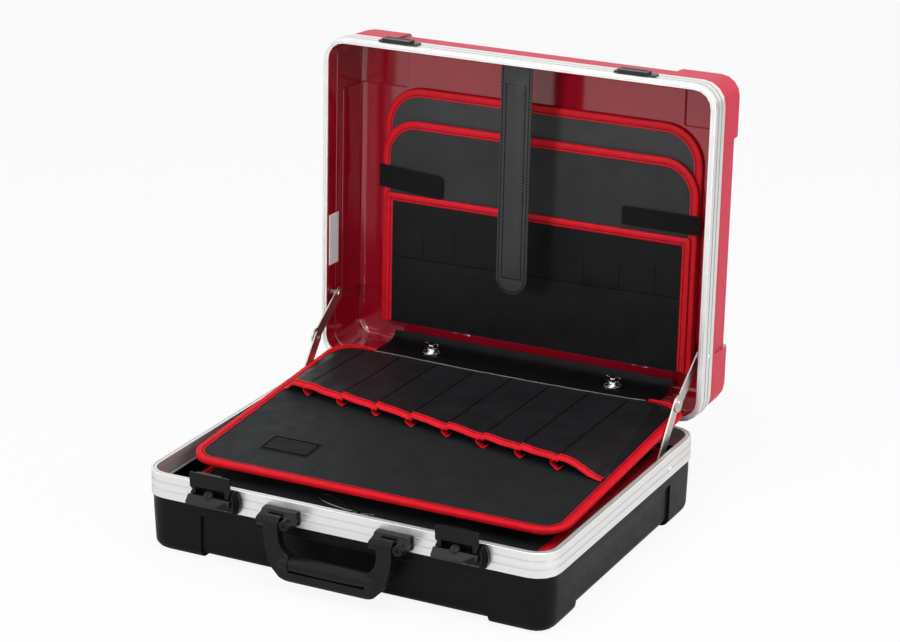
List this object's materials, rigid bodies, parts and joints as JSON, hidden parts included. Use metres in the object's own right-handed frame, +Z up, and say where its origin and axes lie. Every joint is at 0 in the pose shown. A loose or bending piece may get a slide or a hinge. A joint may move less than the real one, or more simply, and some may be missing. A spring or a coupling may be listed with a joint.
{
  "type": "hard tool case",
  "caption": "Open hard tool case with rim frames, draw latches, folding handle, lid stays, a sloping pocketed tool board and a lid organiser.",
  "frame": {"origin": "centre of the bottom panel's outer face, 3 mm above the surface that the corner blocks stand on", "axes": "+X to the right along the hinge line, +Y from the handle to the rear hinges, +Z up"},
  "size_m": [0.46, 0.4919, 0.4599],
  "materials": {
    "black_plastic": "satin black moulded plastic",
    "red_plastic": "red moulded plastic, finely grained outside and glossy inside",
    "aluminium_frame": "satin anodised extruded profile",
    "steel": "nickel plated sheet steel",
    "chrome": "bright chrome",
    "leather_board": "charcoal grained covering on stiff board",
    "pocket_cloth": "smooth black pocket covering",
    "binding": "red woven edge binding",
    "grip": "soft black grip"
  },
  "bodies": {
    "base": {"base_shell": "black_plastic", "base_frame": "aluminium_frame", "hinge_left_base_leaf": "steel", "hinge_left_pin": "steel", "hinge_right_base_leaf": "steel", "hinge_right_pin": "steel", "handle_bracket_left": "black_plastic", "handle_bracket_right": "black_plastic", "handle_pin_left": "black_plastic", "handle_pin_right": "black_plastic", "latch_housing_left": "black_plastic", "latch_housing_right": "black_plastic", "stay_base_rivet_left": "steel", "stay_base_rivet_right": "steel", "divider_left": "leather_board", "divider_right": "leather_board", "lower_board": "leather_board", "lower_board_binding": "binding", "key_ring": "steel", "case_key": "steel"},
    "lid": {"lid_shell": "red_plastic", "lid_frame": "aluminium_frame", "hinge_left_lid_leaf": "steel", "hinge_right_lid_leaf": "steel", "strike_left": "black_plastic", "strike_right": "black_plastic", "stay_lid_rivet_left": "steel", "stay_lid_rivet_right": "steel", "board_flap": "pocket_cloth", "turn_stud_base_left": "chrome", "turn_stud_base_right": "chrome", "organiser_back_board": "leather_board", "organiser_back_binding": "binding"},
    "fold": {"flap_fold": "pocket_cloth"},
    "tool_board": {"tool_board": "leather_board", "tool_board_binding": "binding", "tool_pocket_panel": "pocket_cloth", "tool_pocket_binding": "binding"},
    "strap": {"centre_strap": "leather_board"},
    "organiser_front": {"organiser_front_board": "leather_board", "organiser_front_binding": "binding", "organiser_pocket": "pocket_cloth", "organiser_pocket_binding": "binding", "organiser_tab_left": "pocket_cloth", "organiser_tab_right": "pocket_cloth"},
    "handle": {"handle_bail": "black_plastic", "handle_grip": "grip"},
    "stay_lower_left": {"stay_lower_link_left": "steel"},
    "stay_upper_left": {"stay_upper_link_left": "steel"},
    "stud_wing_left": {"turn_stud_wing_left": "chrome"},
    "lever_left": {"latch_lever_left": "black_plastic"},
    "claw_left": {"latch_claw_left": "black_plastic"},
    "lock_left": {"lock_cylinder_left": "steel"},
    "stay_lower_right": {"stay_lower_link_right": "steel"},
    "stay_upper_right": {"stay_upper_link_right": "steel"},
    "stud_wing_right": {"turn_stud_wing_right": "chrome"},
    "lever_right": {"latch_lever_right": "black_plastic"},
    "claw_right": {"latch_claw_right": "black_plastic"},
    "lock_right": {"lock_cylinder_right": "steel"}
  },
  "joints": [
    {"name": "lid_hinge", "type": "hinge", "parent": "base", "child": "lid", "pos_m": [0, 0.1865, 0.0834], "axis": [-1, 0, 0], "range_deg": [-92, 0]},
    {"name": "board_travel", "type": "slide", "parent": "base", "child": "fold", "axis": [0, -0.999, -0.0441], "range_m": [0, 0.0299]},
    {"name": "board_lift", "type": "hinge", "parent": "fold", "child": "tool_board", "pos_m": [0, 0.20073, 0.09841], "axis": [-1, 0, 0], "range_deg": [0, 70]},
    {"name": "strap_swing", "type": "hinge", "parent": "lid", "child": "strap", "pos_m": [0, 0.20808, 0.44337], "axis": [1, 0, 0], "range_deg": [0, 8.1]},
    {"name": "organiser_tilt", "type": "hinge", "parent": "lid", "child": "organiser_front", "pos_m": [0, 0.25526, 0.11552], "axis": [1, 0, 0], "range_deg": [0, 8]},
    {"name": "handle_swing", "type": "hinge", "parent": "base", "child": "handle", "pos_m": [0, -0.201, 0.0669], "axis": [-1, 0, 0], "range_deg": [0, 95]},
    {"name": "stay_lower_left_pivot", "type": "hinge", "parent": "base", "child": "stay_lower_left", "pos_m": [-0.21595, 0.109, 0.0655], "axis": [-1, 0, 0], "range_deg": [-93.2, 0]},
    {"name": "stay_upper_left_pivot", "type": "hinge", "parent": "lid", "child": "stay_upper_left", "pos_m": [-0.21795, 0.20645, 0.15625], "axis": [-1, 0, 0], "range_deg": [0, 133]},
    {"name": "stud_left_turn", "type": "hinge", "parent": "lid", "child": "stud_wing_left", "pos_m": [-0.111, 0.2267, 0.09701], "axis": [0, 0.0349, 0.9994], "range_deg": [0, 90]},
    {"name": "lever_left_flip", "type": "hinge", "parent": "base", "child": "lever_left", "pos_m": [-0.1385, -0.188, 0.0724], "axis": [-1, 0, 0], "range_deg": [-45, 0]},
    {"name": "claw_left_pivot", "type": "hinge", "parent": "lever_left", "child": "claw_left", "pos_m": [-0.1385, -0.19101, 0.06841], "axis": [-1, 0, 0], "range_deg": [0, 45.1]},
    {"name": "lock_left_turn", "type": "hinge", "parent": "lever_left", "child": "lock_left", "pos_m": [-0.1437, -0.19231, 0.07459], "axis": [0, -0.7071, 0.7071], "range_deg": [-90, 0]},
    {"name": "stay_lower_right_pivot", "type": "hinge", "parent": "base", "child": "stay_lower_right", "pos_m": [0.21595, 0.109, 0.0655], "axis": [-1, 0, 0], "range_deg": [-93.2, 0]},
    {"name": "stay_upper_right_pivot", "type": "hinge", "parent": "lid", "child": "stay_upper_right", "pos_m": [0.21795, 0.20645, 0.15625], "axis": [-1, 0, 0], "range_deg": [0, 133]},
    {"name": "stud_right_turn", "type": "hinge", "parent": "lid", "child": "stud_wing_right", "pos_m": [0.111, 0.2267, 0.09701], "axis": [0, 0.0349, 0.9994], "range_deg": [0, 90]},
    {"name": "lever_right_flip", "type": "hinge", "parent": "base", "child": "lever_right", "pos_m": [0.139, -0.188, 0.0724], "axis": [-1, 0, 0], "range_deg": [-45, 0]},
    {"name": "claw_right_pivot", "type": "hinge", "parent": "lever_right", "child": "claw_right", "pos_m": [0.139, -0.19101, 0.06841], "axis": [-1, 0, 0], "range_deg": [0, 45.1]},
    {"name": "lock_right_turn", "type": "hinge", "parent": "lever_right", "child": "lock_right", "pos_m": [0.1338, -0.19231, 0.07459], "axis": [0, -0.7071, 0.7071], "range_deg": [-90, 0]}
  ],
  "couplings": [
    {"joint": "board_travel", "follows": "lid_hinge", "m_per_rad": -0.018535},
    {"joint": "strap_swing", "follows": "lid_hinge", "ratio": -0.087},
    {"joint": "stay_lower_left_pivot", "follows": "lid_hinge", "ratio": 1.0117},
    {"joint": "stay_upper_left_pivot", "follows": "lid_hinge", "ratio": -1.4441},
    {"joint": "claw_left_pivot", "follows": "lever_left_flip", "ratio": -1},
    {"joint": "stay_lower_right_pivot", "follows": "lid_hinge", "ratio": 1.0117},
    {"joint": "stay_upper_right_pivot", "follows": "lid_hinge", "ratio": -1.4441},
    {"joint": "claw_right_pivot", "follows": "lever_right_flip", "ratio": -1}
  ]
}
